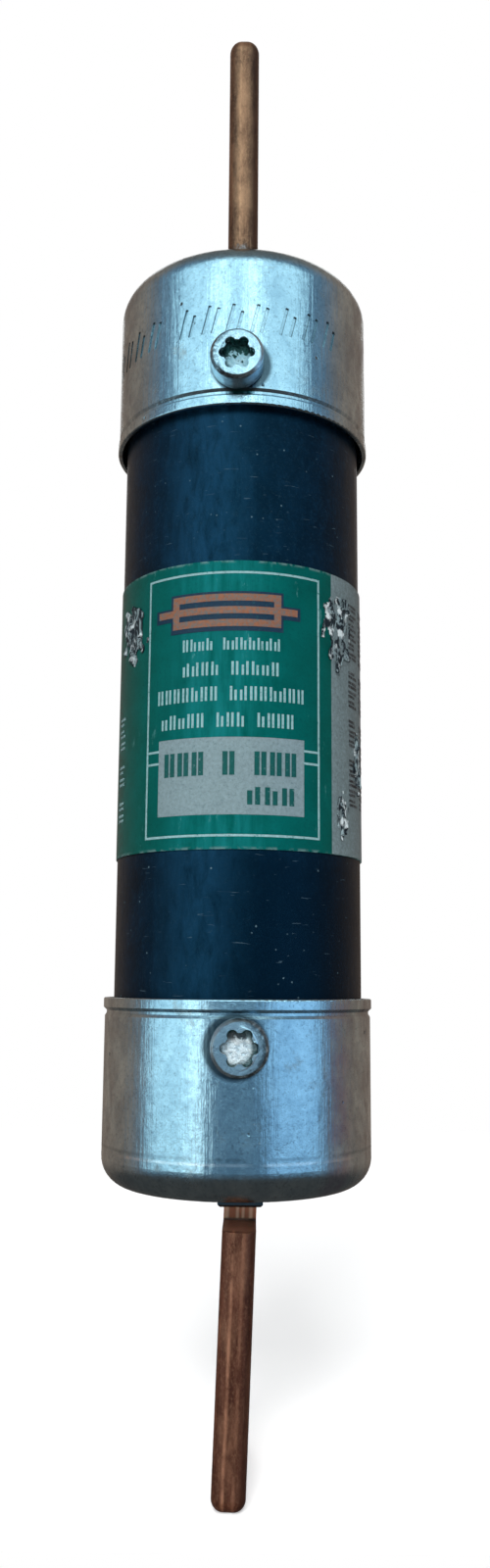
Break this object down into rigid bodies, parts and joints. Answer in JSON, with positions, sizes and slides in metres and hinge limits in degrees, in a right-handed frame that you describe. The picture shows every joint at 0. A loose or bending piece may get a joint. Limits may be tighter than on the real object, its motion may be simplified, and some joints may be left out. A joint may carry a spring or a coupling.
{
  "type": "knife-blade cartridge fuse",
  "caption": "Cylindrical dual-element cartridge fuse with plated end caps, a wrapped label and flat contact blades for spring clips.",
  "frame": {"origin": "middle of the fuse, which is the centre of its bounding box", "axes": "+Z along the fuse towards the upper blade, -Y towards the printed front of the label, X across the blades' thickness"},
  "size_m": [0.0274, 0.032, 0.1492],
  "materials": {
    "fibre_black": "black vulcanised fibre, semi-gloss varnish",
    "label_foil": "printed green label with a silver-grey panel",
    "plated_cap": "tin-plated drawn brass, worn",
    "blade_copper": "oxidised copper",
    "block_brass": "turned brass",
    "screw_steel": "zinc-plated steel",
    "pin_steel": "steel pin",
    "washer_fibre": "grey-brown fibre board",
    "felt": "pressed felt",
    "element_copper": "bright copper strip",
    "sand": "quartz sand",
    "heater_alloy": "copper-nickel resistance strip",
    "fusing_alloy": "low-melting solder",
    "spring_steel": "spring steel"
  },
  "bodies": {
    "fuse": {"tube": "fibre_black", "label": "label_foil", "upper_cap": "plated_cap", "lower_cap": "plated_cap", "upper_blade": "blade_copper", "lower_blade": "blade_copper", "upper_end_block": "block_brass", "lower_end_block": "block_brass", "blade_pins": "pin_steel", "cap_screws": "screw_steel", "upper_gasket": "washer_fibre", "lower_gasket": "washer_fibre", "upper_felt_washer": "felt", "lower_felt_washer": "felt", "upper_sand_filler": "sand", "lower_sand_filler": "sand", "upper_partition": "washer_fibre", "lower_partition": "washer_fibre", "upper_element": "element_copper", "lower_element": "element_copper", "heater": "heater_alloy", "heat_absorber": "element_copper", "fusing_alloy": "fusing_alloy", "trigger_housing": "block_brass", "spring_seat": "washer_fibre", "trigger_spring": "spring_steel"},
    "trigger": {"trigger_connector": "element_copper"}
  },
  "joints": [
    {"name": "trigger_release", "type": "slide", "parent": "fuse", "child": "trigger", "axis": [0, 0, 1], "range_m": [0, 0.005], "deforming": ["trigger_spring"]}
  ]
}
